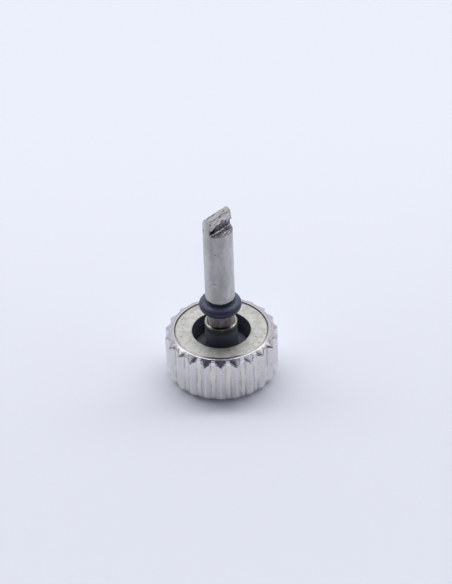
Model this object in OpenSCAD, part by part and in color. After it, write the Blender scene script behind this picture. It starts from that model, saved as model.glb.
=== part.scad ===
// Spring-loaded watch crown with a threaded recess, a telescoping hooked stem and a stem O-ring.
// It stands on its outer face: z = 0 is that face, and +Z runs along the stem to its hooked tip.

/* [Crown shell] */
// Diameter over the crests of the flutes
crown_d = 6.0; // [5.6:0.1:8]
// Height from the outer face to the rim
crown_h = 2.67; // [2.4:0.01:3.4]
// Number of flutes round the grip
flute_count = 22; // [16:1:30]
// Depth of a flute, crest to valley
flute_depth = 0.24; // [0.12:0.01:0.3]
// Width of a flute's flat floor
flute_floor = 0.26; // [0.2:0.01:0.45]
// Width of the land left on each crest
crest_land = 0.03; // [0.02:0.01:0.1]
// Turn of the crest nearest the front
flute_phase = -2.4; // [-8:0.1:8]
// Wall between a flute's valley and the insert ring
grip_wall = 0.28; // [0.2:0.01:0.4]
// Width of the bevel at the rim
rim_bevel_w = 0.34; // [0.2:0.01:0.42]
// Height of the bevel at the rim
rim_bevel_h = 0.29; // [0.1:0.01:0.4]
// Radius of the rounded edge round the outer face
face_round = 0.38; // [0.2:0.01:0.5]
// Width of the low dome between that edge and the flat middle
dome_w = 0.5; // [0.3:0.05:0.9]
// Rise of the low dome at its outer edge
dome_h = 0.1; // [0.03:0.01:0.12]
// Thickness of the shell behind the outer face
face_wall = 0.7; // [0.5:0.05:0.8]

/* [Insert ring] */
// Depth of the ring's face below the rim
insert_sink = 0.06; // [0:0.01:0.12]
// Bevel on the ring's outer edge
insert_edge = 0.04; // [0.02:0.01:0.1]
// Diameter of the recess that takes the case tube
recess_d = 3.1; // [2.9:0.05:3.3]
// Bevel at the mouth of the recess
recess_edge = 0.03; // [0.01:0.01:0.08]
// Height of the thread's ridge
thread_h = 0.08; // [0.05:0.01:0.1]
// Pitch of the thread
thread_pitch = 0.2; // [0.15:0.01:0.3]
// Turns of the thread
thread_turns = 3; // [2:1:4]
// Plain length between the recess's mouth and the thread
thread_lead = 0.32; // [0.2:0.02:0.4]
// Width of the flat along the thread's crest
thread_flat = 0.04; // [0.02:0.01:0.06]

/* [Post] */
// Height of the post's lip above the rim
post_rise = 0.6; // [0.5:0.01:0.8]
// Wall of the post
post_wall = 0.075; // [0.06:0.005:0.12]
// Thickness of the lip that holds the piston in
lip_h = 0.14; // [0.1:0.01:0.2]
// How far the lip reaches inwards over the piston's flange
lip_lap = 0.055; // [0.04:0.005:0.08]
// Radius of the rounded outer edge of the lip
lip_round = 0.1; // [0.04:0.01:0.1]
// How far the post's base flange reaches under the insert ring
base_lap = 0.33; // [0.2:0.01:0.4]
// Thickness of the post's base flange
base_h = 0.35; // [0.2:0.01:0.4]

/* [Seals] */
// Thickness of the gasket in the recess
gasket_h = 0.5; // [0.3:0.05:0.7]
// Section diameter of the stem O-ring
oring_section = 0.62; // [0.5:0.01:0.7]
// Gap between the O-ring and the piston's end
oring_gap = 0.04; // [0.01:0.01:0.1]

/* [Piston and drive] */
// How far the stem can be pressed in
travel = 0.6; // [0.3:0.05:0.65]
// Diameter of the piston's neck
neck_d = 1.44; // [1.3:0.01:1.5]
// Length of neck that shows above the lip
neck_show = 0.73; // [0.7:0.01:0.9]
// Thickness of the piston's flange
flange_h = 0.3; // [0.2:0.01:0.4]
// Wall of the piston's sleeve at the corners of its socket
sleeve_wall = 0.12; // [0.1:0.01:0.15]
// Width across the flats of the square drive stud
stud_w = 0.48; // [0.42:0.01:0.5]
// Diameter of the stud's round foot
foot_d = 0.94; // [0.8:0.01:1.0]
// Thickness of the stud's round foot
foot_h = 0.15; // [0.1:0.01:0.2]
// Diameter of the stud's rivet in the shell
rivet_d = 0.4; // [0.3:0.02:0.5]
// Length of the stud's rivet
rivet_h = 0.3; // [0.2:0.02:0.36]

/* [Spring] */
// Wire diameter of the spring
wire_d = 0.1; // [0.08:0.01:0.11]
// Number of turns of the spring
spring_turns = 7; // [4:1:9]

/* [Stem] */
// Diameter of the stem's shank
shank_d = 1.57; // [1.5:0.01:1.7]
// Length of the shank, from the O-ring groove to the hook's floor
shank_h = 4.4; // [3:0.1:6]
// Bevel on the shank's lower edge
shank_edge = 0.03; // [0.01:0.01:0.06]
// Diameter at the bottom of the O-ring groove
groove_d = 1.0; // [0.9:0.01:1.06]
// Width of the O-ring groove
groove_w = 0.88; // [0.8:0.01:1.0]
// Diameter of the tap that screws into the piston
tap_d = 0.9; // [0.7:0.01:0.9]
// Length of that tap
tap_h = 0.62; // [0.4:0.02:0.64]

/* [Hook] */
// Turn of the hook's slot, from the right towards the back
hook_turn = 44; // [0:1:90]
// Height of the slot below the barb
slot_h = 0.36; // [0.3:0.01:0.5]
// Distance from the stem's axis to the slot's back wall
slot_back = 0.15; // [0.05:0.01:0.25]
// Height of the barb above the slot
barb_h = 0.62; // [0.55:0.01:0.8]
// Distance from the stem's axis to the barb's nose
barb_reach = 0.33; // [0.28:0.01:0.5]
// Height at which the barb's nose starts to slant back
barb_nose = 0.12; // [0.12:0.01:0.4]
// Rise of the barb's underside towards its nose
barb_undercut = 0.03; // [0.01:0.01:0.1]
// Width of the flat land on top of the barb
land_w = 0.34; // [0.2:0.01:0.4]
// Distance from the stem's axis to the land's front edge
land_front = 0.19; // [0.05:0.01:0.24]
// Height of the ramp behind the barb
ramp_h = 0.9; // [0.5:0.01:0.95]

/* [Hidden] */

fine = 96;            // facets of a round outline on screen
fit = 0.01;           // gap of a part that is pressed, riveted or screwed in
slide_fit = 0.015;    // gap of parts that slide in each other
end_gap = 0.1;        // room left past the end of the piston's travel
socket_floor = 0.12;  // metal between the square socket and the tapped hole
eps = 0.01;           // overlap of joined solids and reach of cutting tools

crown_r = crown_d / 2;
valley_r = crown_r - flute_depth;
insert_r = valley_r - grip_wall - fit;
recess_r = recess_d / 2;
base_r = recess_r + base_lap;
neck_r = neck_d / 2;
lip_bore_r = neck_r + slide_fit;
post_bore_r = lip_bore_r + lip_lap;
post_r = post_bore_r + post_wall;
shank_r = shank_d / 2;
socket_w = stud_w + 2 * slide_fit;
sleeve_r = socket_w / sqrt(2) + sleeve_wall;
coil_r = (sleeve_r + post_bore_r) / 2;
oring_r = (groove_d + oring_section) / 2 + fit;

floor_z = face_wall;
insert_top = crown_h - insert_sink;
base_top = floor_z + base_h;
lip_top = crown_h + post_rise;
lip_under = lip_top - lip_h;
flange_z = lip_under - fit - flange_h;
neck_top = lip_top + neck_show;
socket_top = neck_top - tap_h - 2 * fit - socket_floor;
sleeve_z = floor_z + foot_h + travel + end_gap;
stud_top = socket_top - travel - end_gap;
oring_z = neck_top + oring_gap + oring_section / 2;
shank_z = neck_top + groove_w;
hook_z = shank_z + shank_h;
barb_z = hook_z + slot_h;
tip_z = barb_z + barb_h;

// Outline of the grip: a disc with one flat-floored flute between each two crests.
// A flute's flanks run straight from its floor past the edges of the lands.
module fluted_outline() {
    half_angle = 180 / flute_count - asin(crest_land / 2 / crown_r);
    floor_corner = [valley_r, flute_floor / 2];
    land_corner = crown_r * [cos(half_angle), sin(half_angle)];
    outside = 2 * land_corner - floor_corner;
    difference() {
        circle(crown_r, $fn = fine);
        for (i = [0 : flute_count - 1])
            rotate(flute_phase - 90 + (i + 0.5) * 360 / flute_count)
                polygon([
                    floor_corner,
                    outside,
                    [outside.x, -outside.y],
                    [floor_corner.x, -floor_corner.y]
                ]);
    }
}

// Turned envelope of the shell: a low domed outer face with a rounded edge, and a bevel at the rim.
module shell_envelope() {
    dome_r = crown_r - face_round;
    rotate_extrude($fn = fine) {
        polygon([
            [0, 0],
            [dome_r - dome_w, 0],
            [dome_r, dome_h],
            [crown_r, dome_h + face_round],
            [crown_r, crown_h - rim_bevel_h],
            [crown_r - rim_bevel_w, crown_h],
            [0, crown_h]
        ]);
        translate([dome_r, dome_h + face_round])
            circle(face_round, $fn = fine);
    }
}

module crown_shell() {
    color("#c4c2bf")
        difference() {
            intersection() {
                linear_extrude(crown_h)
                    fluted_outline();
                shell_envelope();
            }
            translate([0, 0, floor_z])
                cylinder(h = crown_h, r = insert_r + fit, $fn = fine);
            translate([0, 0, floor_z - rivet_h - fit])
                cylinder(h = crown_h, r = rivet_d / 2 + fit, $fn = fine);
        }
}

// The recess's right-handed thread: a flat-topped triangular ridge on a helix, rooted in the wall.
module thread_ridge() {
    steps = 30;
    rows = steps * thread_turns;
    root_share = 0.38;
    root_r = recess_r + insert_edge;
    crest_r = recess_r - thread_h;
    half_root = thread_pitch * root_share;
    half_flat = thread_flat / 2;
    section = [[root_r, -half_root], [crest_r, -half_flat], [crest_r, half_flat], [root_r, half_root]];
    sides = len(section);
    low = insert_top - thread_lead - half_root - thread_pitch * thread_turns;
    points = [for (k = [0 : rows], p = section)
        let (turn = 360 * k / steps)
            [p.x * cos(turn), p.x * sin(turn), low + thread_pitch * k / steps + p.y]];
    last = sides * rows;
    faces = concat(
        [[0, 1, 2], [0, 2, 3]],
        [for (k = [0 : rows - 1], j = [0 : sides - 1])
            let (a = sides * k + j, b = sides * k + (j + 1) % sides) [a, a + sides, b]],
        [for (k = [0 : rows - 1], j = [0 : sides - 1])
            let (a = sides * k + j, b = sides * k + (j + 1) % sides) [b, a + sides, b + sides]],
        [[last, last + 2, last + 1], [last, last + 3, last + 2]]);
    polyhedron(points, faces, convexity = 6);
}

module insert_ring() {
    color("#c9c8c0") {
        rotate_extrude($fn = fine)
            polygon([
                [base_r + fit, floor_z],
                [insert_r, floor_z],
                [insert_r, insert_top - insert_edge],
                [insert_r - insert_edge, insert_top],
                [recess_r + recess_edge, insert_top],
                [recess_r, insert_top - recess_edge],
                [recess_r, base_top + fit],
                [base_r + fit, base_top + fit]
            ]);
        thread_ridge();
    }
}

// Tube that guides the piston: base flange under the insert ring, inturned rounded lip at the top.
module post() {
    color("#b8b6ae")
        difference() {
            union() {
                translate([0, 0, floor_z])
                    cylinder(h = base_h, r = base_r, $fn = fine);
                translate([0, 0, floor_z])
                    cylinder(h = lip_top - lip_round - floor_z, r = post_r, $fn = fine);
                translate([0, 0, lip_top - lip_round - eps])
                    cylinder(h = lip_round + eps, r = post_r - lip_round, $fn = fine);
                translate([0, 0, lip_top - lip_round])
                    rotate_extrude($fn = fine)
                        translate([post_r - lip_round, 0])
                            circle(lip_round, $fn = fine / 2);
            }
            translate([0, 0, floor_z - eps])
                cylinder(h = lip_under - floor_z + eps, r = post_bore_r, $fn = fine);
            translate([0, 0, floor_z])
                cylinder(h = lip_top, r = lip_bore_r, $fn = fine);
        }
}

module recess_gasket() {
    color("#23252b")
        translate([0, 0, base_top])
            difference() {
                cylinder(h = gasket_h, r = recess_r - thread_h - fit, $fn = fine);
                translate([0, 0, -eps])
                    cylinder(h = gasket_h + 2 * eps, r = post_r + fit, $fn = fine);
            }
}

// Square key that turns the piston with the crown, riveted through a round foot into the shell.
module drive_stud() {
    color("#a9a8a4") {
        translate([0, 0, floor_z - rivet_h])
            cylinder(h = rivet_h + eps, r = rivet_d / 2, $fn = fine);
        translate([0, 0, floor_z])
            cylinder(h = foot_h, r = foot_d / 2, $fn = fine);
        translate([-stud_w / 2, -stud_w / 2, floor_z])
            cube([stud_w, stud_w, stud_top - floor_z]);
    }
}

// Compression spring between the shell's floor and the piston's flange: round wire on a helix.
module spring() {
    steps = 20;
    sides = 8;
    rows = steps * spring_turns;
    wire_r = wire_d / 2;
    low = floor_z + fit + wire_r;
    rise = flange_z - fit - wire_r - low;
    points = [for (k = [0 : rows], j = [0 : sides - 1])
        let (turn = 360 * k / steps,
             round_wire = 360 * j / sides,
             r = coil_r + wire_r * cos(round_wire))
            [r * cos(turn), r * sin(turn), low + rise * k / rows + wire_r * sin(round_wire)]];
    last = rows * sides;
    faces = concat(
        [for (j = [1 : sides - 2]) [0, j, j + 1]],
        [for (k = [0 : rows - 1], j = [0 : sides - 1])
            let (a = k * sides + j, b = k * sides + (j + 1) % sides) [a, a + sides, b]],
        [for (k = [0 : rows - 1], j = [0 : sides - 1])
            let (a = k * sides + j, b = k * sides + (j + 1) % sides) [b, a + sides, b + sides]],
        [for (j = [1 : sides - 2]) [last, last + j + 1, last + j]]);
    color("#9c9b98")
        polyhedron(points, faces, convexity = 10);
}

// Sliding piston: sleeve with a square socket, flange held under the lip, neck tapped for the stem.
module piston() {
    color("#9d9489")
        difference() {
            union() {
                translate([0, 0, sleeve_z])
                    cylinder(h = flange_z - sleeve_z + eps, r = sleeve_r, $fn = fine);
                translate([0, 0, flange_z])
                    cylinder(h = flange_h, r = post_bore_r - slide_fit, $fn = fine);
                translate([0, 0, flange_z])
                    cylinder(h = neck_top - flange_z, r = neck_r, $fn = fine);
            }
            translate([-socket_w / 2, -socket_w / 2, sleeve_z - eps])
                cube([socket_w, socket_w, socket_top - sleeve_z + eps]);
            translate([0, 0, neck_top - tap_h - 2 * fit])
                cylinder(h = tap_h + 1, r = tap_d / 2 + fit, $fn = fine);
        }
}

// Profile of the hook across its slot; x runs towards the slot's open side.
module hook_profile() {
    polygon([
        [slot_back, hook_z - eps],
        [slot_back, barb_z],
        [barb_reach, barb_z + barb_undercut],
        [barb_reach, barb_z + barb_nose],
        [land_front, tip_z],
        [land_front - land_w, tip_z],
        [-shank_r, tip_z - ramp_h],
        [-shank_r, hook_z - eps]
    ]);
}

module stem() {
    color("#c2c0be") {
        translate([0, 0, neck_top - tap_h])
            cylinder(h = tap_h + 2 * fit, r = tap_d / 2, $fn = fine);
        translate([0, 0, neck_top + fit])
            cylinder(h = groove_w, r = groove_d / 2, $fn = fine);
        rotate_extrude($fn = fine)
            polygon([
                [0, shank_z],
                [shank_r - shank_edge, shank_z],
                [shank_r, shank_z + shank_edge],
                [shank_r, hook_z],
                [0, hook_z]
            ]);
        intersection() {
            translate([0, 0, hook_z - eps])
                cylinder(h = tip_z - hook_z + 2 * eps, r = shank_r, $fn = fine);
            rotate([0, 0, hook_turn - 90])
                rotate([90, 0, 0])
                    linear_extrude(2 * shank_d, center = true)
                        hook_profile();
        }
    }
}

module stem_oring() {
    color("#2b2d38")
        translate([0, 0, oring_z])
            rotate_extrude($fn = fine)
                translate([oring_r, 0])
                    circle(d = oring_section, $fn = fine / 2);
}

crown_shell();
insert_ring();
post();
recess_gasket();
drive_stud();
spring();
piston();
stem();
stem_oring();
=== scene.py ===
import math
import random

import bmesh
import bpy
from mathutils import Matrix, Vector, noise


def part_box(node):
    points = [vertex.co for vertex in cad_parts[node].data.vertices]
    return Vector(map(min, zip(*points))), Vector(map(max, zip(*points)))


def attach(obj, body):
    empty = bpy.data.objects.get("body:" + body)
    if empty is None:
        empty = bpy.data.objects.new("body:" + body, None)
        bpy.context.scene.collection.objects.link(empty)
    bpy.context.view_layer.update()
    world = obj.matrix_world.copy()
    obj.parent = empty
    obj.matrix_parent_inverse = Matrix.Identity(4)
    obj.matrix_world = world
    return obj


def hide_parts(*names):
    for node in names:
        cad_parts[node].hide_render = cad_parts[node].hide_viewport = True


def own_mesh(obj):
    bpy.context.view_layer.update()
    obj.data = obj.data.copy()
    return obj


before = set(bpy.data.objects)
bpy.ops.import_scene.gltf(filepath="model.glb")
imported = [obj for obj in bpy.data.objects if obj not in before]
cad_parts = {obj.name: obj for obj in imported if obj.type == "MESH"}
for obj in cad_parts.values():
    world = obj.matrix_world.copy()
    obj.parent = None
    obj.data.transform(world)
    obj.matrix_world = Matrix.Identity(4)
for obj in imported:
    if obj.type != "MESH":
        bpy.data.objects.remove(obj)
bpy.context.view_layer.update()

# Lengths in this script are millimetres, in the frame of the CAD part, until a mesh is finished.
MM = 0.001
PICTURE_WIDTH = 452
PICTURE_HEIGHT = 584


def node_radius(node, low=-1.0, high=100.0):
    """The largest distance from the stem's axis of a CAD node's points between two heights."""
    points = [vertex.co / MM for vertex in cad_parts[node].data.vertices]
    return max(math.hypot(p.x, p.y) for p in points if low <= p.z <= high)


def node_heights(node):
    """Lowest and highest z of a CAD node."""
    low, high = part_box(node)
    return low.z / MM, high.z / MM


# Sizes that are read from the frame
shell_bottom, rim_z = node_heights("crown_shell")
ring_bottom, ring_top = node_heights("insert_ring")
post_bottom, lip_top = node_heights("post")
gasket_bottom, gasket_top = node_heights("recess_gasket")
piston_bottom, neck_top = node_heights("piston")
stem_bottom, tip_z = node_heights("stem")
oring_bottom, oring_top = node_heights("stem_oring")
spring_bottom, spring_top = node_heights("spring")
stud_bottom, stud_top = node_heights("drive_stud")
crown_r = node_radius("crown_shell")
ring_r = node_radius("insert_ring")
post_r = node_radius("post", rim_z)
base_r = node_radius("post")
neck_r = node_radius("piston", lip_top)
flange_r = node_radius("piston")
shank_r = node_radius("stem")
oring_outer_r = node_radius("stem_oring")
gasket_r = node_radius("recess_gasket")
tap_r = node_radius("stem", stem_bottom - 0.01, stem_bottom + 0.01)
sleeve_r = node_radius("piston", piston_bottom - 0.01, piston_bottom + 0.01)

# Sizes that the frame's outlines don't give, as the CAD part has them
FIT = 0.01
SLIDE_FIT = 0.015
FLUTES = 22
FLUTE_DEPTH = 0.24
FLUTE_FLOOR = 0.26
CREST_LAND = 0.03
FLUTE_PHASE = math.radians(-2.4)
# The bevel is worn 0.05 wider and 0.02 less high than the CAD part's
BEVEL_W = 0.39
BEVEL_H = 0.27
FACE_ROUND = 0.38
DOME = {"width": 0.5, "height": 0.1}
RECESS_R = 1.55
RECESS_EDGE = 0.03
RING_EDGE = 0.04
THREAD = {"height": 0.08, "pitch": 0.2, "turns": 3, "lead": 0.32, "flat": 0.04, "root_share": 0.38}
BASE_H = 0.35
LIP_H = 0.14
LIP_LAP = 0.055
FLANGE_H = 0.3
FOOT_R = 0.47
FOOT_H = 0.15
RIVET_R = 0.2
STUD_W = 0.48
SOCKET_DEPTH = 1.69
TAP_H = 0.62
WIRE_R = 0.05
SPRING_TURNS = 7
GROOVE_R = 0.5
GROOVE_W = 0.88
SHANK_H = 4.4
SHANK_EDGE = 0.03
# The slot runs along w, 44 degrees round from the x axis, and u points out of the slot's mouth
HOOK_TURN = math.radians(44 - 90)
SLOT_H = 0.36
SLOT_BACK = 0.15
BARB = {
    "reach": 0.33,
    "nose": 0.12,
    "undercut": 0.03,
    "land_w": 0.34,
    "land_front": 0.19,
    "ramp_h": 0.9,
}

valley_r = crown_r - FLUTE_DEPTH
rim_flat_r = crown_r - BEVEL_W
rim_slope = BEVEL_H / BEVEL_W
floor_z = ring_bottom
shank_z = neck_top + GROOVE_W
hook_z = shank_z + SHANK_H
barb_z = hook_z + SLOT_H


# Meshes

SHARP_ANGLE = math.radians(40)
# How far the larger roundings reach from their corners, as the look has them
ROUNDING = {
    "flute_crest": 0.012,
    "flute_floor": 0.045,
    "rim": 0.03,
    "dome": 0.2,
    "lip": 0.11,
    "hook_front": 0.13,
    "hook_back": 0.04,
}
# Wear of the shell's crests: how finely and how far they are rubbed down, and what nicks they have
CREST_RUB = {"fine": 2.3, "depth": 0.018}
NICKS = {"count": 24, "height": (0.45, 2.3), "size": (0.04, 0.1), "depth": (0.01, 0.035)}
# Radius of the worn edge at a flute's top: a crest's own, and what the floor and a flank's foot add
TOP_EDGE = {"crest": 0.016, "floor": 0.03, "flank": 0.11}
# Side of the cubes that the stem is remeshed with
STEM_VOXEL = 0.02
# How far remeshing may move the shank's surface, and how thick a layer there counts as its skin
REMESH_ERROR = 0.012
SKIN = 0.02
# Marks and lumps of the sawn hook: how closely they follow each other, and how deep they are
SAW_MARKS = {"fine": 26, "along": 2.5, "depth": 0.012}
LUMPS = {"fine": 6, "depth": 0.014}
# Dents of the round sides from some way below the slot up, where a fine noise passes its least value
DENTS = {"below": 0.6, "fine": 5, "least": 0.25, "depth": 0.03}


def rounded(corners, closed=False, steps=4):
    """Points of an outline whose corners, given as (r, z, radius), become short arcs."""
    points = []
    count = len(corners)
    for i, (r, z, radius) in enumerate(corners):
        here = Vector((r, z))
        if radius == 0 or (not closed and i in (0, count - 1)):
            points.append(here)
            continue
        before = Vector(corners[i - 1][:2]) - here
        after = Vector(corners[(i + 1) % count][:2]) - here
        start = here + before.normalized() * min(radius, before.length * 0.45)
        end = here + after.normalized() * min(radius, after.length * 0.45)
        for k in range(steps + 1):
            t = k / steps
            points.append(start * (1 - t) ** 2 + here * 2 * t * (1 - t) + end * t ** 2)
    return points


def divided(points, longest):
    """The same outline with its straight runs cut into equal parts no longer than a length."""
    result = [points[0]]
    for here, after in zip(points, points[1:]):
        parts = max(1, math.ceil((after - here).length / longest))
        result += [here.lerp(after, k / parts) for k in range(1, parts + 1)]
    return result


def sweep_round(outline_at, columns, closed):
    """A mesh whose upright outline, a list of (r, z) points for each angle, goes round the axis."""
    mesh = bmesh.new()
    rings = []
    for c in range(columns):
        angle, outline = outline_at(c)
        place = (math.cos(angle), math.sin(angle))
        rings.append([mesh.verts.new((p.x * place[0], p.x * place[1], p.y)) for p in outline])
    rows = len(rings[0])
    for c in range(columns):
        here, after = rings[c], rings[(c + 1) % columns]
        for k in range(rows if closed else rows - 1):
            m = (k + 1) % rows
            mesh.faces.new((here[k], after[k], after[m], here[m]))
    return mesh


def turned(outline, columns=192, closed=True):
    """A mesh of one outline that is the same all round."""
    return sweep_round(lambda c: (2 * math.pi * c / columns, outline), columns, closed)


def finished(mesh, name, body, node, material):
    """Scales a mesh from millimetres to metres and makes it the piece that stands for a CAD node."""
    bmesh.ops.remove_doubles(mesh, verts=mesh.verts, dist=0.0003)
    bmesh.ops.dissolve_degenerate(mesh, edges=mesh.edges, dist=0.0001)
    bmesh.ops.recalc_face_normals(mesh, faces=mesh.faces)
    for edge in mesh.edges:
        edge.smooth = len(edge.link_faces) == 2 and edge.calc_face_angle(0) < SHARP_ANGLE
    for face in mesh.faces:
        face.smooth = True
    bmesh.ops.scale(mesh, vec=(MM, MM, MM), verts=mesh.verts)
    data = bpy.data.meshes.new(name)
    mesh.to_mesh(data)
    mesh.free()
    data.materials.append(material)
    piece = bpy.data.objects.new(name, data)
    bpy.context.scene.collection.objects.link(piece)
    weighted = piece.modifiers.new("weighted_normals", "WEIGHTED_NORMAL")
    weighted.keep_sharp = True
    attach(piece, body)
    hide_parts(node)
    return piece


def dent(mesh, centre, size, depth):
    """Presses a round dent of some depth into a mesh, towards the axis."""
    for vertex in mesh.verts:
        distance = (vertex.co - centre).length
        if distance < 3 * size:
            inward = Vector((-vertex.co.x, -vertex.co.y, 0)).normalized()
            vertex.co += inward * depth * math.exp(-((distance / size) ** 2))


def flute_outline():
    """One flute from the middle of a land to the next, as (angle, radius) from the flute's middle."""
    half = math.pi / FLUTES
    land = half - math.asin(CREST_LAND / 2 / crown_r)
    side = [
        (crown_r * math.cos(half), crown_r * math.sin(half), 0),
        (crown_r * math.cos(land), crown_r * math.sin(land), ROUNDING["flute_crest"]),
        (valley_r, FLUTE_FLOOR / 2, ROUNDING["flute_floor"]),
    ]
    corners = side + [(x, -y, radius) for x, y, radius in reversed(side)]
    points = divided(rounded(corners), 0.06)[1:]
    return [(-math.atan2(p.y, p.x), p.length) for p in points]


def shell_mesh():
    """The fluted cap: flat-floored flutes between the bevel at the rim and the round outer edge."""
    dome_r = crown_r - FACE_ROUND
    dome_z = shell_bottom + DOME["height"]
    cavity_r = ring_r + FIT
    flute = flute_outline()

    def round_edge(r):
        """Points down the round outer edge, from a radius in to where the dome starts."""
        widest = math.asin((r - dome_r) / FACE_ROUND)
        steps = 10
        points = []
        for k in range(steps + 1):
            turn = widest * (1 - k / steps)
            height = dome_z + FACE_ROUND * (1 - math.cos(turn))
            points.append((dome_r + FACE_ROUND * math.sin(turn), height, 0))
        return points

    def top_edge(turn, r):
        """Radius of the worn edge between a flute's wall and the bevel: widest at a flank's foot."""
        sunk = (crown_r - r) / FLUTE_DEPTH
        off_floor = (abs(turn) * r - 0.75 * FLUTE_FLOOR / 2) / (0.25 * FLUTE_FLOOR)
        on_flank = min(max(off_floor, 0), 1) * sunk
        return TOP_EDGE["crest"] + TOP_EDGE["floor"] * sunk + TOP_EDGE["flank"] * on_flank

    def outline_at(column):
        number, step = divmod(column, len(flute))
        turn, r = flute[step]
        angle = FLUTE_PHASE - math.pi / 2 + 2 * math.pi * (number + 0.5) / FLUTES + turn
        wall_top = rim_z - (r - rim_flat_r) * rim_slope
        down = round_edge(min(r, crown_r - 0.0001))
        wall_low = down[0][1]
        upper = rounded([
            (0, floor_z, 0),
            (cavity_r, floor_z, 0),
            (cavity_r, rim_z, ROUNDING["rim"]),
            (rim_flat_r, rim_z, ROUNDING["rim"]),
            (r, wall_top, top_edge(turn, r)),
            (r, wall_low, 0),
        ])[:-1]
        parts = 30
        wall = [Vector((r, wall_top + (wall_low - wall_top) * k / parts)) for k in range(1, parts)]
        dome_edge = (dome_r - DOME["width"], shell_bottom, ROUNDING["dome"])
        lower = rounded(down + [dome_edge, (0, shell_bottom, 0)])
        return angle, upper + wall + lower

    mesh = sweep_round(outline_at, FLUTES * len(flute), closed=False)
    worn_edges(mesh)
    return mesh


def worn_edges(mesh):
    """Rubs the crests down unevenly and nicks a few of them."""
    for vertex in mesh.verts:
        r = math.hypot(vertex.co.x, vertex.co.y)
        crest = max(0.0, (r - valley_r) / (crown_r - valley_r))
        rub = 0.5 + 0.5 * noise.noise(vertex.co * CREST_RUB["fine"])
        inward = Vector((-vertex.co.x, -vertex.co.y, 0)).normalized()
        if r > ring_r + 0.05:
            vertex.co += inward * crest ** 4 * CREST_RUB["depth"] * rub
    draw = random.Random(7)
    for _ in range(NICKS["count"]):
        angle = FLUTE_PHASE - math.pi / 2 + 2 * math.pi * draw.randrange(FLUTES) / FLUTES
        height = draw.uniform(*NICKS["height"])
        centre = Vector((crown_r * math.cos(angle), crown_r * math.sin(angle), height))
        dent(mesh, centre, draw.uniform(*NICKS["size"]), draw.uniform(*NICKS["depth"]))


def ring_mesh():
    """The flat insert ring with its threaded bore."""
    columns = 180
    rows = 60
    half_root = THREAD["pitch"] * THREAD["root_share"]
    thread_top = ring_top - THREAD["lead"] - half_root
    thread_low = thread_top - THREAD["pitch"] * THREAD["turns"]
    base_top = post_bottom + BASE_H

    def wall_r(angle, z):
        """Radius of the bore's wall, in by the thread's height where the ridge runs."""
        start = thread_low + THREAD["pitch"] * angle / (2 * math.pi)
        turn = round((z - start) / THREAD["pitch"])
        turn = min(max(turn, 0), THREAD["turns"] - 1)
        off = abs(start + turn * THREAD["pitch"] - z)
        slope = (half_root - off) / (half_root - THREAD["flat"] / 2)
        return RECESS_R - THREAD["height"] * min(max(slope, 0), 1)

    fixed = rounded([
        (RECESS_R, base_top + FIT, 0),
        (base_r + FIT, base_top + FIT, 0),
        (base_r + FIT, ring_bottom, 0),
        (ring_r, ring_bottom, 0),
        (ring_r, ring_top - RING_EDGE, 0.01),
        (ring_r - RING_EDGE, ring_top, 0.02),
        (RECESS_R + RECESS_EDGE, ring_top, 0.015),
        (RECESS_R, ring_top - RECESS_EDGE, 0.01),
        (RECESS_R, thread_top + half_root, 0),
    ])
    low = thread_low - half_root
    high = thread_top + half_root

    def outline_at(column):
        angle = 2 * math.pi * column / columns
        wall = [high + (low - high) * k / rows for k in range(1, rows + 1)]
        return angle, fixed + [Vector((wall_r(angle, z), z)) for z in wall]

    return sweep_round(outline_at, columns, closed=True)


def post_mesh():
    """The post: base flange, tube and rounded inturned lip."""
    bore_r = neck_r + SLIDE_FIT + LIP_LAP
    lip_r = neck_r + SLIDE_FIT
    base_top = post_bottom + BASE_H
    return turned(rounded([
        (bore_r, post_bottom, 0.01),
        (base_r, post_bottom, 0.01),
        (base_r, base_top, 0.02),
        (post_r, base_top, 0.01),
        (post_r, lip_top, ROUNDING["lip"]),
        (lip_r, lip_top, 0.012),
        (lip_r, lip_top - LIP_H, 0.01),
        (bore_r, lip_top - LIP_H, 0.01),
    ], closed=True, steps=8))


def gasket_mesh():
    """The flat gasket, a little swollen round its edges."""
    edge = 0.08
    hole_r = post_r + FIT
    return turned(rounded([
        (hole_r, gasket_bottom, edge),
        (gasket_r, gasket_bottom, edge),
        (gasket_r, gasket_top, edge),
        (hole_r, gasket_top, edge),
    ], closed=True, steps=6), columns=128)


def oring_mesh():
    """The O-ring, with the faint flash line that moulding leaves outside and inside."""
    section_r = (oring_top - oring_bottom) / 2
    middle_r = oring_outer_r - section_r
    middle_z = (oring_top + oring_bottom) / 2
    sides = 48
    columns = 160
    flash = 0.006
    flash_half_angle = 0.09
    lumps = 0.004

    def outline_at(column):
        angle = 2 * math.pi * column / columns
        points = []
        for k in range(sides):
            turn = 2 * math.pi * k / sides
            off = min(abs(turn - math.pi * n) for n in (0, 1, 2))
            uneven = lumps * noise.noise(Vector((3 * math.cos(angle), 3 * math.sin(angle), turn)))
            r = section_r - flash + flash * math.exp(-((off / flash_half_angle) ** 2)) + uneven - lumps
            points.append(Vector((middle_r + r * math.cos(turn), middle_z + r * math.sin(turn))))
        return angle, points

    return sweep_round(outline_at, columns, closed=True)


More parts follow.
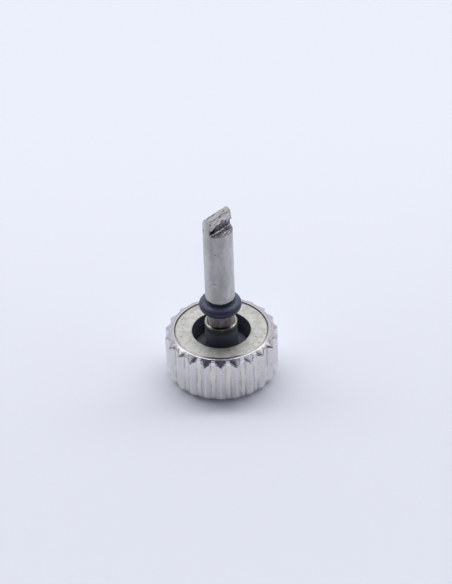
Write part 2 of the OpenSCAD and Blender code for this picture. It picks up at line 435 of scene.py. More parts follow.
def piston_mesh():
    """The piston's outside: sleeve, flange and neck, with its socket and tapped hole as round bores."""
    neck_low = lip_top - LIP_H - FIT
    flange_low = neck_low - FLANGE_H
    socket_r = (STUD_W / 2 + SLIDE_FIT) * math.sqrt(2)
    socket_top = piston_bottom + SOCKET_DEPTH
    hole_low = neck_top - TAP_H - 2 * FIT
    return turned(rounded([
        (0, socket_top, 0),
        (socket_r, socket_top, 0),
        (socket_r, piston_bottom, 0.01),
        (sleeve_r, piston_bottom, 0.02),
        (sleeve_r, flange_low, 0.01),
        (flange_r, flange_low, 0.02),
        (flange_r, neck_low, 0.02),
        (neck_r, neck_low, 0.01),
        (neck_r, neck_top, 0.03),
        (tap_r + FIT, neck_top, 0.01),
        (tap_r + FIT, hole_low, 0),
        (0, hole_low, 0),
    ]), closed=False)


def stud_mesh():
    """The drive stud: rivet, round foot and a key whose columns are pushed out to a square."""
    mesh = turned(rounded([
        (0, stud_bottom, 0),
        (RIVET_R, stud_bottom, 0.02),
        (RIVET_R, floor_z, 0),
        (FOOT_R, floor_z, 0.01),
        (FOOT_R, floor_z + FOOT_H, 0.02),
        (STUD_W / 2, floor_z + FOOT_H, 0),
        (STUD_W / 2, stud_top, 0.03),
        (0, stud_top, 0),
    ]), columns=96, closed=False)
    for vertex in mesh.verts:
        flat = Vector((vertex.co.x, vertex.co.y, 0))
        if vertex.co.z > floor_z + FOOT_H - 0.001 and 0 < flat.length < STUD_W / 2 + 0.001:
            vertex.co += flat * (flat.length / max(abs(flat.x), abs(flat.y)) - 1)
    return mesh


def spring_mesh():
    """The spring's wire along its helix, cut plainly at both ends."""
    coil_r = (sleeve_r + neck_r + SLIDE_FIT + LIP_LAP) / 2
    steps = 48
    sides = 12
    rows = steps * SPRING_TURNS
    low = spring_bottom + WIRE_R
    rise = spring_top - WIRE_R - low
    mesh = bmesh.new()
    rings = []
    for k in range(rows + 1):
        turn = 2 * math.pi * k / steps
        ring = []
        for j in range(sides):
            side = 2 * math.pi * j / sides
            r = coil_r + WIRE_R * math.cos(side)
            z = low + rise * k / rows + WIRE_R * math.sin(side)
            ring.append(mesh.verts.new((r * math.cos(turn), r * math.sin(turn), z)))
        rings.append(ring)
    for here, after in zip(rings, rings[1:]):
        for j in range(sides):
            m = (j + 1) % sides
            mesh.faces.new((here[j], after[j], after[m], here[m]))
    mesh.faces.new(rings[0])
    mesh.faces.new(rings[-1])
    return mesh


# How far the barb's lower front edge is worn up, as (w, height), with w along the slot
BARB_WEAR = [
    (-1.5, 0), (-0.74, 0.03), (-0.62, 0.07), (-0.5, 0.12), (-0.38, 0.2), (-0.2, 0.16), (-0.05, 0.18),
    (0.12, 0.15), (0.3, 0.19), (0.45, 0.14), (0.6, 0.13), (0.72, 0.04), (1.5, 0),
]


def hook_outline(wear):
    """The hook's profile across its slot, carried down to the stem's foot, as (x, z) points."""
    wide = shank_r + 1
    low = barb_z + BARB["undercut"] + wear
    nose = max(barb_z + BARB["nose"], low + 0.01)
    slant = (BARB["reach"] - BARB["land_front"]) / (tip_z - barb_z - BARB["nose"])

    def front(z):
        return BARB["reach"] - slant * max(0, z - barb_z - BARB["nose"])

    return [(p.x, p.y) for p in rounded([
        (wide, stem_bottom - 1, 0),
        (wide, hook_z, 0),
        (SLOT_BACK, hook_z, 0),
        (SLOT_BACK, barb_z, 0),
        (front(low), low, 0),
        (front(nose), nose, 0),
        (BARB["land_front"], tip_z, ROUNDING["hook_front"]),
        (BARB["land_front"] - BARB["land_w"], tip_z, ROUNDING["hook_back"]),
        (-shank_r, tip_z - BARB["ramp_h"], 0),
        (-wide, tip_z - BARB["ramp_h"], 0),
        (-wide, stem_bottom - 1, 0),
    ])]


def temporary_object(mesh, name):
    """An object in millimetres, used only while a mesh is worked on."""
    bmesh.ops.recalc_face_normals(mesh, faces=mesh.faces)
    data = bpy.data.meshes.new(name)
    mesh.to_mesh(data)
    mesh.free()
    made = bpy.data.objects.new(name, data)
    bpy.context.scene.collection.objects.link(made)
    return made


def evaluated_mesh(made):
    """The mesh of an object with its modifiers applied."""
    graph = bpy.context.evaluated_depsgraph_get()
    mesh = bmesh.new()
    mesh.from_object(made, graph)
    return mesh


def stem_mesh():
    """The stem as it is made: turned to shape, sawn to a hook, then worn and nicked."""
    body = temporary_object(turned(rounded([
        (0, stem_bottom, 0),
        (tap_r, stem_bottom, 0.03),
        (tap_r, neck_top + FIT, 0),
        (GROOVE_R, neck_top + FIT, 0),
        (GROOVE_R, shank_z, 0.03),
        (shank_r, shank_z, SHANK_EDGE),
        (shank_r, tip_z + 0.02, 0),
        (0, tip_z + 0.02, 0),
    ]), columns=160, closed=False), "stem_body")
    bpy.context.view_layer.update()
    prism = bmesh.new()
    turn = Matrix.Rotation(HOOK_TURN, 4, "Z")
    sides = []
    for w, wear in BARB_WEAR:
        sides.append([prism.verts.new(turn @ Vector((u, w, z))) for u, z in hook_outline(wear)])
    prism.faces.new(sides[0])
    prism.faces.new(list(reversed(sides[-1])))
    count = len(sides[0])
    for here, after in zip(sides, sides[1:]):
        for k in range(count):
            m = (k + 1) % count
            prism.faces.new((here[m], here[k], after[k], after[m]))
    bmesh.ops.triangulate(prism, faces=prism.faces)
    cutter = temporary_object(prism, "stem_cutter")
    cut = body.modifiers.new("cut", "BOOLEAN")
    cut.operation = "INTERSECT"
    cut.solver = "EXACT"
    cut.object = cutter
    fine = body.modifiers.new("fine", "REMESH")
    fine.mode = "VOXEL"
    fine.voxel_size = STEM_VOXEL
    mesh = evaluated_mesh(body)
    for made in (body, cutter):
        bpy.data.objects.remove(made)
    roughen_stem(mesh)
    return mesh


# Chips in the hook and the shank as (u, w, height below the tip, size, depth)
CHIPS = [
    (0.31, 0.58, 0.46, 0.06, 0.03),
    (0.1, 0.66, 0, 0.09, 0.04),
    (0.3, 0.06, 0.46, 0.06, 0.03),
    (-0.12, -0.3, 0, 0.08, 0.03),
    (-0.12, -0.6, 0.04, 0.09, 0.05),
    (0.06, 0.39, 0, 0.04, 0.02),
    (0.22, 0, 0.09, 0.05, 0.02),
    (0.2, -0.72, 0.22, 0.05, 0.015),
    (-0.33, -0.71, 0.83, 0.07, 0.05),
    (-0.36, -0.69, 0.98, 0.05, 0.03),
    (0.43, -0.66, 2.09, 0.04, 0.015),
    (0.37, -0.69, 4.04, 0.07, 0.015),
]
BURR = {"u": 0.2, "slant": 0.02, "low_w": -0.62, "high_w": 0.28, "height": 0.035, "half_w": 0.018}


def roughen_stem(mesh):
    """Brings the remeshed shank back to its true radius, saws and chips the hook and nicks the shank."""
    back_turn = Matrix.Rotation(-HOOK_TURN, 4, "Z")
    mesh.normal_update()
    moves = []
    for vertex in mesh.verts:
        p = vertex.co
        r = math.hypot(p.x, p.y)
        outward = Vector((p.x, p.y, 0)).normalized()
        local = back_turn @ p
        move = Vector((0, 0, 0))
        if abs(r - shank_r) < REMESH_ERROR and p.z > shank_z + SHANK_EDGE:
            move += outward * (shank_r - r)
        if p.z > hook_z - 0.03 and abs(r - shank_r) > SKIN:
            fine = SAW_MARKS["fine"]
            marks = noise.noise(Vector((local.x * fine, local.y * SAW_MARKS["along"], local.z * fine)))
            lumps = noise.noise(local * LUMPS["fine"])
            uneven = SAW_MARKS["depth"] * marks + LUMPS["depth"] * lumps
            move += vertex.normal * (uneven - SAW_MARKS["depth"])
            along = BURR["low_w"] < local.y < BURR["high_w"]
            off = (local.x - BURR["u"] - BURR["slant"] * local.y) / BURR["half_w"]
            if along and abs(p.z - hook_z) < STEM_VOXEL:
                move.z += BURR["height"] * math.exp(-(off ** 2))
        elif p.z > hook_z - DENTS["below"] and r > shank_r - SKIN:
            dented = max(0, noise.noise(p * DENTS["fine"]) - DENTS["least"])
            move -= outward * dented * DENTS["depth"]
        for u, w, below, size, depth in CHIPS:
            distance = (local - Vector((u, w, tip_z - below))).length
            if distance < 2.5 * size:
                uneven = 0.7 + 0.6 * noise.noise(local * 14)
                move -= vertex.normal * depth * uneven * math.exp(-((distance / size) ** 2))
        moves.append(move)
    for vertex, move in zip(mesh.verts, moves):
        vertex.co += move


# Materials

class Finish:
    """One material: a Principled shader and short calls for the nodes that feed it."""

    def __init__(self, name, **values):
        self.material = bpy.data.materials.new(name)
        self.material.use_nodes = True
        self.nodes = self.material.node_tree.nodes
        self.links = self.material.node_tree.links
        self.shader = self.nodes["Principled BSDF"]
        for socket, value in values.items():
            self.shader.inputs[socket.replace("_", " ")].default_value = value
        self.coordinates = self.add("ShaderNodeTexCoord")
        to_mm = self.add("ShaderNodeVectorMath", operation="SCALE")
        to_mm.inputs["Scale"].default_value = 1 / MM
        self.link(self.coordinates.outputs["Object"], to_mm.inputs[0])
        self.place = to_mm.outputs[0]

    def add(self, kind, **settings):
        made = self.nodes.new(kind)
        for name, value in settings.items():
            setattr(made, name, value)
        return made

    def link(self, source, target):
        self.links.new(source, target)

    def feed(self, target, value):
        """Links a socket, or sets a plain value."""
        if isinstance(value, bpy.types.NodeSocket):
            self.link(value, target)
        else:
            target.default_value = value

    def math(self, operation, first, second=0.0):
        made = self.add("ShaderNodeMath", operation=operation)
        self.feed(made.inputs[0], first)
        self.feed(made.inputs[1], second)
        return made.outputs[0]

    def stretched(self, scale):
        """The place, multiplied along each axis."""
        made = self.add("ShaderNodeVectorMath", operation="MULTIPLY")
        self.link(self.place, made.inputs[0])
        made.inputs[1].default_value = scale
        return made.outputs[0]

    def noise(self, scale, detail, place=None):
        made = self.add("ShaderNodeTexNoise")
        made.inputs["Scale"].default_value = scale
        made.inputs["Detail"].default_value = detail
        made.inputs["Roughness"].default_value = 0.55
        self.link(place or self.place, made.inputs["Vector"])
        return made.outputs[0]

    def between(self, value, low, high, out_low=0.0, out_high=1.0):
        """A value mapped smoothly from one range to another and held at its ends."""
        made = self.add("ShaderNodeMapRange", interpolation_type="SMOOTHSTEP")
        self.feed(made.inputs["Value"], value)
        made.inputs["From Min"].default_value = low
        made.inputs["From Max"].default_value = high
        made.inputs["To Min"].default_value = out_low
        made.inputs["To Max"].default_value = out_high
        return made.outputs["Result"]

    def chosen(self, share, first, second):
        """A number between two numbers."""
        made = self.add("ShaderNodeMix", data_type="FLOAT")
        self.feed(made.inputs[0], share)
        self.feed(made.inputs[2], first)
        self.feed(made.inputs[3], second)
        return made.outputs[0]

    def mixed(self, share, first, second):
        """A colour between two colours."""
        made = self.add("ShaderNodeMix", data_type="RGBA")
        self.feed(made.inputs[0], share)
        self.feed(made.inputs[6], first)
        self.feed(made.inputs[7], second)
        return made.outputs[2]

    def parts(self):
        """The place's x, y and z."""
        made = self.add("ShaderNodeSeparateXYZ")
        self.link(self.place, made.inputs[0])
        return made.outputs

    def along(self, direction):
        """Distance along a direction, from the origin."""
        made = self.add("ShaderNodeVectorMath", operation="DOT_PRODUCT")
        self.link(self.place, made.inputs[0])
        made.inputs[1].default_value = direction
        return made.outputs["Value"]

    def facing_up(self):
        """How far the surface faces up, from -1 to 1."""
        made = self.add("ShaderNodeSeparateXYZ")
        self.link(self.coordinates.outputs["Normal"], made.inputs[0])
        return made.outputs[2]

    def spot(self, centre, size):
        """1 inside an ellipsoid, given as (u, w, z), and 0 outside it, with a soft uneven edge."""
        off = self.add("ShaderNodeVectorMath", operation="SUBTRACT")
        self.link(self.place, off.inputs[0])
        off.inputs[1].default_value = Matrix.Rotation(HOOK_TURN, 3, "Z") @ Vector(centre)
        rotated = self.add("ShaderNodeVectorRotate", rotation_type="Z_AXIS")
        self.link(off.outputs[0], rotated.inputs["Vector"])
        rotated.inputs["Angle"].default_value = -HOOK_TURN
        shrunk = self.add("ShaderNodeVectorMath", operation="DIVIDE")
        self.link(rotated.outputs[0], shrunk.inputs[0])
        shrunk.inputs[1].default_value = size
        length = self.add("ShaderNodeVectorMath", operation="LENGTH")
        self.link(shrunk.outputs[0], length.inputs[0])
        uneven = self.math("MULTIPLY", self.math("SUBTRACT", self.noise(14, 3), 0.5), 0.9)
        return self.between(self.math("ADD", length.outputs["Value"], uneven), 1.0, 0.6)

    def folded(self, operation, values):
        """Several numbers taken together by one operation."""
        result = values[0]
        for value in values[1:]:
            result = self.math(operation, result, value)
        return result

    def product(self, *values):
        return self.folded("MULTIPLY", values)

    def largest(self, *values):
        return self.folded("MAXIMUM", values)

    def radius(self):
        """Distance from the stem's axis."""
        made = self.add("ShaderNodeVectorMath", operation="LENGTH")
        self.link(self.stretched((1, 1, 0)), made.inputs[0])
        return made.outputs["Value"]

    def off_flute(self):
        """Distance across a flute from its middle."""
        x, y, _ = self.parts()
        pitch = 2 * math.pi / FLUTES
        turn = self.math("SUBTRACT", self.math("ARCTAN2", y, x), FLUTE_PHASE - math.pi / 2)
        turn = self.math("SUBTRACT", self.math("FLOORED_MODULO", turn, pitch), pitch / 2)
        return self.math("MULTIPLY", self.math("ABSOLUTE", turn), valley_r)

    def turned_place(self, fineness):
        """A place that changes fast with radius and slowly round the axis, for turning marks."""
        x, y, _ = self.parts()
        radius = self.radius()
        made = self.add("ShaderNodeCombineXYZ")
        self.link(self.math("MULTIPLY", radius, fineness), made.inputs[0])
        self.link(self.math("DIVIDE", x, radius), made.inputs[1])
        self.link(self.math("DIVIDE", y, radius), made.inputs[2])
        return made.outputs[0]

    def bumped(self, height, distance, before=None):
        """A bump of a height in millimetres over one that came before it."""
        made = self.add("ShaderNodeBump")
        made.inputs["Strength"].default_value = 1.0
        made.inputs["Distance"].default_value = distance * MM
        self.link(height, made.inputs["Height"])
        if before:
            self.link(before, made.inputs["Normal"])
        return made.outputs["Normal"]

    def set(self, socket, value):
        self.feed(self.shader.inputs[socket], value)


def flute_corner_shade(made, z):
    """How much painted shade darkens the corners between a flute's floor and its flanks, most of all
    near the rim.
    """
    corner = made.math("ABSOLUTE", made.math("SUBTRACT", made.off_flute(), FLUTE_FLOOR / 2))
    uneven = made.between(made.noise(1, 3, made.stretched((5, 5, 1.2))), 0.4, 0.62)
    near_rim = made.between(z, rim_z - 0.3, rim_z - 0.12, 0.6, 1.0)
    return made.product(made.between(corner, 0.09, 0.0), uneven, near_rim)


def painted_light_arch_top(made, y, radius):
    """Where the bevel over a flute's floor is dull and painted light, in front."""
    return made.product(
        made.between(radius, rim_flat_r + 0.04, rim_flat_r + 0.07),
        made.between(made.off_flute(), FLUTE_FLOOR / 2, FLUTE_FLOOR / 2 - 0.05),
        made.between(y, -1.9, -2.4, 0.2, 1.0),
    )


def arch_shade_line(made, y, z, radius):
    """The broken line of painted shade along the flanks just under the bevel, faint at the back."""
    fall = made.product(made.math("SUBTRACT", radius, rim_flat_r), rim_slope)
    depth = made.math("SUBTRACT", made.math("SUBTRACT", rim_z, fall), z)
    return made.product(
        made.between(depth, 0.01, 0.022),
        made.between(depth, 0.11, 0.085),
        made.between(radius, rim_flat_r + 0.17, rim_flat_r + 0.23),
        made.between(y, -0.4, -1.6, 0.25, 1.0),
        made.between(made.noise(4, 3), 0.35, 0.5),
    )


def shell_steel():
    """Worn steel: dull scratched flutes, polished bevels at the rim, and painted light and shade: a wall
    round the ring painted dark, painted shade in the flutes' corners and under the bevel, light arch
    tops in front and flutes lighter near the foot.
    """
    made = Finish("shell_steel", Metallic=1.0)
    _, y, z = made.parts()
    radius = made.radius()
    on_rim = made.between(z, rim_z - BEVEL_H - 0.04, rim_z - BEVEL_H + 0.04)
    on_bevel = made.between(radius, rim_flat_r - 0.02, rim_flat_r + 0.02)
    painted_light_bevel = painted_light_arch_top(made, y, radius)

    blotch = made.between(made.noise(1.6, 4), 0.35, 0.7)
    tint = made.mixed(blotch, (0.86, 0.842, 0.8, 1), (0.77, 0.752, 0.72, 1))
    crest = made.between(made.off_flute(), FLUTE_FLOOR / 2 + 0.04, FLUTE_FLOOR / 2 + 0.2)
    tint = made.mixed(crest, tint, (0.81, 0.79, 0.81, 1))
    # Painted light: the flutes are lighter towards the foot
    painted_foot_light = made.between(z, 1.1, 0.2)
    tint = made.mixed(painted_foot_light, tint, (0.95, 0.94, 0.91, 1))
    grain = made.between(made.noise(1, 4, made.stretched((13, 13, 6))), 0.5, 0.75)
    tint = made.mixed(made.product(grain, 0.5), tint, (0.52, 0.505, 0.51, 1))
    # Painted shade in the corners between the flutes' floors and flanks
    tint = made.mixed(flute_corner_shade(made, z), tint, (0.38, 0.37, 0.39, 1))

    # The bevels left and right of the front would show the lamp too brightly, so they are darker
    lamp_side = made.product(made.between(y, -2.45, -2.0), made.between(y, -0.5, -1.2))
    bevel = made.mixed(lamp_side, (0.55, 0.53, 0.58, 1), (0.38, 0.37, 0.385, 1))
    rim = made.mixed(on_bevel, (0.38, 0.375, 0.39, 1), bevel)
    # Painted light on the bevel over the flutes' floors in front
    rim = made.mixed(painted_light_bevel, rim, (0.93, 0.92, 0.94, 1))
    tint = made.mixed(on_rim, tint, rim)
    # A broken dark line of painted shade under the bevel
    tint = made.mixed(made.product(arch_shade_line(made, y, z, radius), 0.95), tint, (0.06, 0.062, 0.1, 1))
    # Painted shade on the wall round the ring
    joint_shade = made.between(radius, ring_r + 0.02, ring_r + 0.012)
    made.set("Base Color", made.mixed(joint_shade, tint, (0.3, 0.3, 0.32, 1)))

    speckle = made.noise(22, 3)
    flutes = made.between(speckle, 0.3, 0.7, 0.4, 0.52)
    flat = made.between(y, -1.7, -2.3, 0.46, 0.3)
    polished = made.chosen(painted_light_bevel, made.between(speckle, 0.3, 0.7, 0.15, 0.24), 0.5)
    made.set("Roughness", made.chosen(on_rim, flutes, made.chosen(on_bevel, flat, polished)))

    off_rim = made.math("SUBTRACT", 1.0, made.product(on_rim, 0.96))
    streaks = made.noise(1, 2, made.stretched((15, 15, 1.2)))
    normal = made.bumped(made.product(streaks, off_rim), 0.004)
    normal = made.bumped(made.product(made.noise(9, 4), off_rim), 0.006, normal)
    scratches = made.between(made.noise(1, 2, made.stretched((7, 30, 30))), 0.5, 0.7)
    normal = made.bumped(made.product(scratches, on_rim, on_bevel), 0.0014, normal)
    made.set("Normal", normal)
    return made.material


def ring_steel():
    """The ring's flat face: fine turning marks, stains and specks, painted shade along its edge, and a
    dark bore with painted light lower down and painted shade on its upward faces.
    """
    made = Finish("ring_steel")
    _, y, z = made.parts()
    radius = made.radius()
    stain = made.between(made.noise(3.4, 4), 0.42, 0.62)
    face = made.mixed(stain, (0.47, 0.467, 0.465, 1), (0.385, 0.385, 0.35, 1))
    specks = made.between(made.noise(7, 3), 0.59, 0.68)
    face = made.mixed(made.product(specks, 0.55), face, (0.19, 0.18, 0.155, 1))
    # Painted shade along the ring's outer edge
    joint_shade = made.between(radius, ring_r - 0.03, ring_r - 0.015)
    face = made.mixed(joint_shade, face, (0.16, 0.16, 0.17, 1))
    # Painted shade: a broken dark line along the front of the ring's edge
    front_edge_shade = made.product(
        made.between(radius, ring_r - 0.11, ring_r - 0.09),
        made.between(y, -2.1, -2.3),
        made.between(made.noise(3, 3), 0.15, 0.35),
    )
    face = made.mixed(front_edge_shade, face, (0.015, 0.018, 0.045, 1))

    in_bore = made.product(made.between(radius, RECESS_R + 0.012, RECESS_R),
                           made.between(z, ring_top - 0.03, ring_top - 0.06))
    # Painted light: the bore is lighter lower down
    lower_bore_light = made.between(z, ring_top - 0.3, gasket_top + 0.1)
    bore = made.mixed(lower_bore_light, (0.075, 0.08, 0.125, 1), (0.13, 0.138, 0.195, 1))
    # Painted shade: the bore's upward faces are darker
    bore = made.mixed(made.between(made.facing_up(), 0.1, 0.5), bore, (0.03, 0.032, 0.05, 1))
    made.set("Base Color", made.mixed(in_bore, face, bore))
    made.set("Metallic", made.between(in_bore, 0.0, 1.0, 1.0, 0.0))
    made.set("Specular IOR Level", made.between(in_bore, 0.0, 1.0, 0.5, 0.1))
    marks = made.noise(1, 3, made.turned_place(34))
    rough = made.between(marks, 0.3, 0.7, 0.38, 0.46)
    made.set("Roughness", made.math("ADD", rough, made.product(in_bore, 0.2)))
    normal = made.bumped(marks, 0.0014)
    made.set("Normal", made.bumped(made.noise(7, 5), 0.004, normal))
    return made.material


def post_steel():
    """The post: a thin polished warm lip, its front painted darker as a reflection of the neck, over a
    dark tube with painted light lower down.
    """
    made = Finish("post_steel", Specular_IOR_Level=0.2)
    _, y, z = made.parts()
    on_dark_tube = made.between(z, lip_top - 0.06, lip_top - 0.22)
    # Painted light: the tube is lighter lower down
    low = made.between(z, lip_top - 0.2, rim_z)
    dark_tube_tint = made.mixed(low, (0.055, 0.059, 0.072, 1), (0.155, 0.165, 0.2, 1))
    # Painted reflection of the dark neck on the front of the lip
    painted_neck_reflection = made.product(made.between(y, -0.55, -0.75), made.between(made.noise(5, 3), 0.15, 0.4), 0.92)
    lip = made.mixed(painted_neck_reflection, (0.45, 0.435, 0.385, 1), (0.13, 0.115, 0.09, 1))
    made.set("Base Color", made.mixed(on_dark_tube, lip, dark_tube_tint))
    made.set("Metallic", made.between(on_dark_tube, 0.0, 1.0, 1.0, 0.15))
    rough = made.between(made.noise(14, 3), 0.3, 0.7, 0.14, 0.22)
    made.set("Roughness", made.math("ADD", rough, made.product(on_dark_tube, 0.3)))
    made.set("Normal", made.bumped(made.noise(1, 2, made.stretched((2, 2, 30))), 0.0006))
    return made.material


def piston_steel():
    """The piston's neck: brownish, with turning marks round it and darker stains."""
    made = Finish("piston_steel", Metallic=1.0)
    film = made.between(made.noise(4, 4, made.stretched((1, 1, 0.45))), 0.38, 0.62)
    made.set("Base Color", made.mixed(film, (0.28, 0.262, 0.27, 1), (0.17, 0.157, 0.155, 1)))
    made.set("Roughness", made.between(made.noise(16, 3), 0.3, 0.7, 0.3, 0.42))
    made.set("Normal", made.bumped(made.noise(1, 3, made.stretched((2, 2, 45))), 0.003))
    return made.material


# Stains on the hook and the shank as (place, size), both as (u, w, z)
STAINS = [
    ((-0.1, -0.28, tip_z), (0.07, 0.28, 0.14)),
    ((-0.1, -0.6, tip_z - 0.03), (0.07, 0.13, 0.12)),
    ((0.06, 0.39, tip_z), (0.05, 0.1, 0.1)),
    ((0.22, 0, tip_z - 0.09), (0.1, 0.1, 0.05)),
    ((0.2, -0.37, tip_z - 0.02), (0.05, 0.07, 0.06)),
    ((0.2, -0.72, tip_z - 0.22), (0.06, 0.05, 0.08)),
    ((0.33, 0.45, barb_z + 0.12), (0.12, 0.22, 0.06)),
    ((-0.33, -0.71, tip_z - 0.84), (0.1, 0.08, 0.08)),
    ((-0.36, -0.69, tip_z - 0.99), (0.08, 0.08, 0.06)),
    ((0.43, -0.66, tip_z - 2.09), (0.06, 0.06, 0.05)),
    ((0.37, -0.69, tip_z - 4.04), (0.14, 0.14, 0.03)),
]
OLIVE_STAIN = ((0.3, 0.06, tip_z - 0.38), (0.14, 0.16, 0.08))
SLOT_SHADOW = ((0.15, -0.48, hook_z + 0.17), (0.14, 0.26, 0.17))


def slot_finish(made, z, radius):
    """Where the sawn slot is, and its tint: scored marks darkened by painted shade, a black corner of
    painted shadow and a burr painted bright as a highlight.
    """
    u = made.along((math.cos(HOOK_TURN), math.sin(HOOK_TURN), 0))
    in_slot = made.product(
        made.between(u, SLOT_BACK - 0.04, SLOT_BACK - 0.01),
        made.between(z, hook_z - 0.09, hook_z - 0.06),
        made.between(z, barb_z + 0.04, barb_z + 0.02),
        made.between(radius, shank_r - 0.01, shank_r - 0.035),
    )
    # Scored marks, darkened by painted shade in the slot
    scored = made.between(made.noise(1, 3, made.stretched((16, 16, 30))), 0.46, 0.62)
    slot_scores_and_shade = made.mixed(scored, (0.12, 0.12, 0.135, 1), (0.54, 0.53, 0.56, 1))
    slot_scores_and_shade = made.mixed(made.spot(*SLOT_SHADOW), slot_scores_and_shade, (0.02, 0.02, 0.025, 1))
    # A burr ridge, its colour a painted highlight
    burr_highlight = made.product(
        made.between(z, hook_z + 0.004, hook_z + 0.014),
        made.between(z, hook_z + 0.07, hook_z + 0.05),
        made.between(u, SLOT_BACK + 0.01, SLOT_BACK + 0.03),
    )
    return in_slot, made.mixed(burr_highlight, slot_scores_and_shade, (0.85, 0.85, 0.85, 1))


def stem_steel():
    """The stem: satin grey with turning marks, pits and stains, painted light on its left and right
    sides, and a sawn hook with painted shade on its top and in its slot.
    """
    made = Finish("stem_steel", Metallic=1.0)
    x, _, z = made.parts()
    radius = made.radius()
    on_hook = made.between(z, hook_z + 0.02, hook_z + 0.1)
    shaded_sawn_top = made.product(on_hook, made.between(made.facing_up(), 0.15, 0.5))
    hook_face = made.product(
        on_hook,
        made.between(radius, shank_r - 0.01, shank_r - 0.03),
        made.between(made.facing_up(), 0.5, 0.15),
    )
    stained = made.largest(*[made.spot(place, size) for place, size in STAINS])
    groove = made.between(z, shank_z + 0.03, shank_z)
    in_slot, slot_scores_and_shade = slot_finish(made, z, radius)

    blotch = made.between(made.noise(2.2, 4, made.stretched((1, 1, 0.5))), 0.35, 0.68)
    tint = made.mixed(blotch, (0.42, 0.41, 0.406, 1), (0.325, 0.316, 0.312, 1))
    # Painted light: the stem is lighter on its left and right sides
    side_light_tint = made.mixed(blotch, (0.55, 0.54, 0.538, 1), (0.44, 0.43, 0.428, 1))
    painted_side_light = made.largest(made.between(x, 0.05, 0.55), made.between(x, -0.3, -0.68))
    tint = made.mixed(painted_side_light, tint, side_light_tint)
    # Painted shade: the hook's upward sawn faces are darker, against the lamp's highlight
    tint = made.mixed(shaded_sawn_top, tint, (0.35, 0.347, 0.35, 1))
    flecks = made.between(made.noise(1, 3, made.stretched((10, 10, 6))), 0.54, 0.68)
    flecks = made.product(flecks, made.between(on_hook, 0.0, 1.0, 0.2, 0.38))
    tint = made.mixed(flecks, tint, (0.2, 0.19, 0.195, 1))
    pits = made.between(made.noise(9, 3), 0.68, 0.75)
    tint = made.mixed(made.product(pits, 0.6), tint, (0.22, 0.21, 0.2, 1))
    tint = made.mixed(made.product(hook_face, 0.8), tint, (0.7, 0.69, 0.71, 1))
    tint = made.mixed(made.product(stained, 0.85), tint, (0.08, 0.078, 0.08, 1))
    tint = made.mixed(made.product(made.spot(*OLIVE_STAIN), 0.8), tint, (0.13, 0.125, 0.07, 1))
    tint = made.mixed(groove, tint, (0.3, 0.31, 0.38, 1))
    made.set("Base Color", made.mixed(in_slot, tint, slot_scores_and_shade))

    satin = made.between(made.noise(20, 3), 0.3, 0.7, 0.28, 0.38)
    dull = made.largest(
        made.product(in_slot, 0.1),
        made.product(shaded_sawn_top, 0.28),
        made.product(stained, 0.3),
    )
    made.set("Roughness", made.math("ADD", satin, dull))
    made.set("Metallic", made.between(made.largest(stained, groove), 0.0, 1.0, 1.0, 0.3))
    normal = made.bumped(made.noise(1, 3, made.stretched((2, 2, 42))), 0.0035)
    made.set("Normal", made.bumped(made.noise(8, 4), 0.004, normal))
    return made.material


def inner_steel():
    """Plain clean steel of the pieces inside."""
    made = Finish("inner_steel", Metallic=1.0)
    made.set("Base Color", made.mixed(made.noise(2, 3), (0.52, 0.52, 0.52, 1), (0.42, 0.42, 0.41, 1)))
    made.set("Roughness", made.between(made.noise(18, 3), 0.3, 0.7, 0.22, 0.34))
    return made.material


def rubber(name, colour, worn_colour, top_light_colour, low, high):
    """Black rubber with a faint bloom, painted light where it faces up and a fine moulded grain."""
    made = Finish(name)
    bloom = made.between(made.noise(2.5, 5), 0.4, 0.75)
    # Painted light where the rubber faces up
    painted_top_light = made.product(made.between(made.facing_up(), 0.45, 0.9),
                        made.between(made.noise(5, 4), 0.25, 0.6, 0.5, 1.0))
    made.set("Base Color", made.mixed(painted_top_light, made.mixed(bloom, colour, worn_colour), top_light_colour))
    made.set("Roughness", made.between(made.noise(9, 3), 0.3, 0.7, low, high))
    made.set("Normal", made.bumped(made.noise(26, 3), 0.003))
    return made.material


# The stage, the light and the camera

FLOOR_FAR = (0.775, 0.805, 0.885, 1)
FLOOR_NEAR = (0.695, 0.718, 0.8, 1)
TENT = (0.8, 0.81, 0.85, 1)
LAMP = (6.0, 5.93, 5.8, 1)
# The strip lamp runs from left to right over the crown and leans back, with angles in degrees
STRIP = {"lean": 24, "half_width": 8, "blur": 2, "full": 20, "none": 58}
# The dark front of the tent and the darker patch round the camera, with angles in degrees
DARK_SIDES = [
    {"toward": (0, -0.97, 0.24), "full": 50, "none": 70, "colour": (0.15, 0.145, 0.15, 1)},
    {"toward": (-0.2, -0.48, 0.853), "full": 27, "none": 38, "colour": (0.07, 0.07, 0.11, 1)},
]


def make_floor():
    """The pale paper that the crown stands on, with painted shade making it a little darker towards the
    camera.
    """
    mesh = bmesh.new()
    bmesh.ops.create_grid(mesh, x_segments=2, y_segments=2, size=2.0)
    data = bpy.data.meshes.new("floor")
    mesh.to_mesh(data)
    mesh.free()
    floor = bpy.data.objects.new("floor", data)
    bpy.context.scene.collection.objects.link(floor)
    made = Finish("floor_paper", Roughness=0.9, Specular_IOR_Level=0.0)
    _, y, _ = made.parts()
    # Painted shade: the floor is darker towards the camera
    made.set("Base Color", made.mixed(made.between(y, -14, 24), FLOOR_NEAR, FLOOR_FAR))
    data.materials.append(made.material)


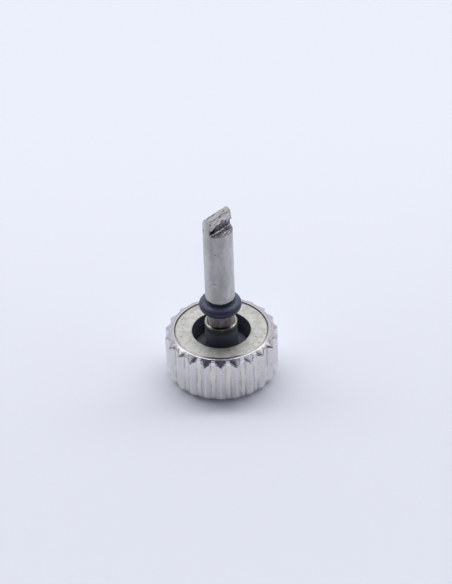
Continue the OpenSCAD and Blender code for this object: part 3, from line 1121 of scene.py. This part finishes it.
def make_world():
    """A pale tent with a strip lamp over the crown, dark in front and darker round the camera."""
    world = bpy.data.worlds.new("tent")
    bpy.context.scene.world = world
    world.use_nodes = True
    nodes, links = world.node_tree.nodes, world.node_tree.links
    place = nodes.new("ShaderNodeTexCoord")

    def near(toward, full, none):
        """1 within an angle of a direction, falling to 0 at a wider angle."""
        close = nodes.new("ShaderNodeVectorMath")
        close.operation = "DOT_PRODUCT"
        close.inputs[1].default_value = Vector(toward).normalized()
        links.new(place.outputs["Generated"], close.inputs[0])
        share = nodes.new("ShaderNodeMapRange")
        share.interpolation_type = "SMOOTHSTEP"
        share.inputs["From Min"].default_value = math.cos(math.radians(none))
        share.inputs["From Max"].default_value = math.cos(math.radians(full))
        links.new(close.outputs["Value"], share.inputs["Value"])
        return share.outputs["Result"]

    def multiplied(first, second):
        product = nodes.new("ShaderNodeMath")
        product.operation = "MULTIPLY"
        links.new(first, product.inputs[0])
        links.new(second, product.inputs[1])
        return product.outputs[0]

    def tinted(share, before, shade):
        """The colour before, turned to another shade by a share."""
        colour = nodes.new("ShaderNodeMix")
        colour.data_type = "RGBA"
        links.new(share, colour.inputs[0])
        if isinstance(before, bpy.types.NodeSocket):
            links.new(before, colour.inputs[6])
        else:
            colour.inputs[6].default_value = before
        colour.inputs[7].default_value = shade
        return colour.outputs[2]

    lean = math.radians(STRIP["lean"])
    inside = 90 + STRIP["half_width"] - STRIP["blur"]
    outside = 90 + STRIP["half_width"] + STRIP["blur"]
    in_front_of_back_edge = near((0, -math.cos(lean), math.sin(lean)), inside, outside)
    behind_front_edge = near((0, math.cos(lean), -math.sin(lean)), inside, outside)
    length = near((0, math.sin(lean), math.cos(lean)), STRIP["full"], STRIP["none"])
    strip = multiplied(multiplied(in_front_of_back_edge, behind_front_edge), length)
    tent = tinted(strip, TENT, LAMP)
    for side in DARK_SIDES:
        tent = tinted(near(side["toward"], side["full"], side["none"]), tent, side["colour"])
    links.new(tent, nodes["Background"].inputs["Color"])
    nodes["Background"].inputs["Strength"].default_value = 1.0


def make_camera():
    """The camera of the photograph: 39 degrees up, straight in front, turned a little."""
    elevation = math.radians(39.2)
    distance = 180
    pixels_per_mm = 18.94
    focal_pixels = pixels_per_mm * distance
    roll = math.radians(-2.15)
    aim = Vector((0, 0, 2.6 * MM))
    aim_pixel = (221.3, 329.35)
    sensor = 36.0
    data = bpy.data.cameras.new("camera")
    camera = bpy.data.objects.new("camera", data)
    bpy.context.scene.collection.objects.link(camera)
    back = Vector((0, -math.cos(elevation), math.sin(elevation)))
    look = (-back).to_track_quat("-Z", "Y").to_matrix().to_4x4()
    place = Matrix.Translation(aim + back * distance * MM)
    camera.matrix_world = place @ look @ Matrix.Rotation(roll, 4, "Z")
    data.sensor_width = sensor
    data.lens = focal_pixels * sensor / PICTURE_HEIGHT
    data.shift_x = (PICTURE_WIDTH / 2 - aim_pixel[0]) / PICTURE_HEIGHT
    data.shift_y = (aim_pixel[1] - PICTURE_HEIGHT / 2) / PICTURE_HEIGHT
    data.clip_start = 0.01
    data.clip_end = 10
    bpy.context.scene.camera = camera


make_camera()
make_floor()
make_world()
bpy.context.scene.view_settings.view_transform = "Standard"

inner = inner_steel()
oring_rubber = rubber("oring_rubber", (0.009, 0.014, 0.046, 1), (0.016, 0.022, 0.06, 1),
                      (0.07, 0.083, 0.14, 1), 0.38, 0.5)
gasket_rubber = rubber("gasket_rubber", (0.055, 0.059, 0.085, 1), (0.065, 0.069, 0.095, 1),
                       (0.062, 0.066, 0.095, 1), 0.55, 0.7)

finished(shell_mesh(), "shell_cap", "crown", "crown_shell", shell_steel())
finished(ring_mesh(), "threaded_ring", "crown", "insert_ring", ring_steel())
finished(post_mesh(), "guide_post", "crown", "post", post_steel())
finished(gasket_mesh(), "flat_gasket", "crown", "recess_gasket", gasket_rubber)
finished(stud_mesh(), "square_stud", "crown", "drive_stud", inner)
spring = finished(spring_mesh(), "coil_spring", "crown", "spring", inner)
finished(piston_mesh(), "sliding_piston", "stem", "piston", piston_steel())
finished(stem_mesh(), "hooked_stem", "stem", "stem", stem_steel())
finished(oring_mesh(), "o_ring", "stem", "stem_oring", oring_rubber)

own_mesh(spring)
